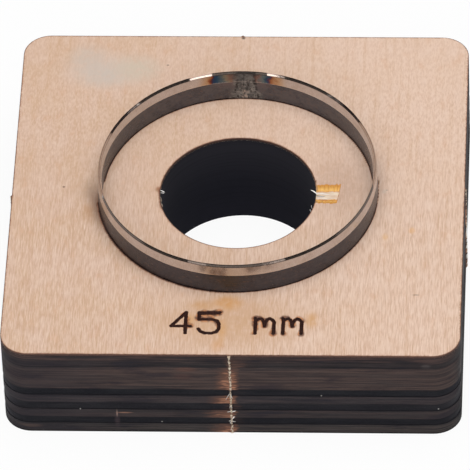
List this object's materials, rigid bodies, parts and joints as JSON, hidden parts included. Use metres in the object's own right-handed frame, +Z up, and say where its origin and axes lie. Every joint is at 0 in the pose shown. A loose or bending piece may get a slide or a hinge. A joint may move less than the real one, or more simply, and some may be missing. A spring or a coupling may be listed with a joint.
{
  "type": "circular cutting die",
  "caption": "Round steel-rule cutting die: a bevelled steel ring welded closed and set in a laser-cut plywood block with a push-out hole.",
  "frame": {"origin": "on the axis of the cutting ring, at the underside of the board", "axes": "+Z up towards the cutting edge, along the ring's axis; +Y towards the weld at the back; +X to the right when the size mark faces the reader"},
  "size_m": [0.0746, 0.0746, 0.0238],
  "materials": {
    "face_wood": "bare sanded veneer, grain front to back",
    "long_grain_char": "laser-charred edge, fine fibres along the edge",
    "end_grain_char": "laser-charred end grain, nearly black",
    "cutting_steel": "oxide-dark body with ground bevels"
  },
  "bodies": {
    "root": {"face_veneer": "face_wood", "core_ply_1": "long_grain_char", "core_ply_2": "long_grain_char", "core_ply_3": "end_grain_char", "core_ply_4": "long_grain_char", "core_ply_5": "end_grain_char", "core_ply_6": "long_grain_char", "core_ply_7": "end_grain_char", "back_ply": "long_grain_char", "cutting_rule": "cutting_steel"}
  },
  "joints": []
}
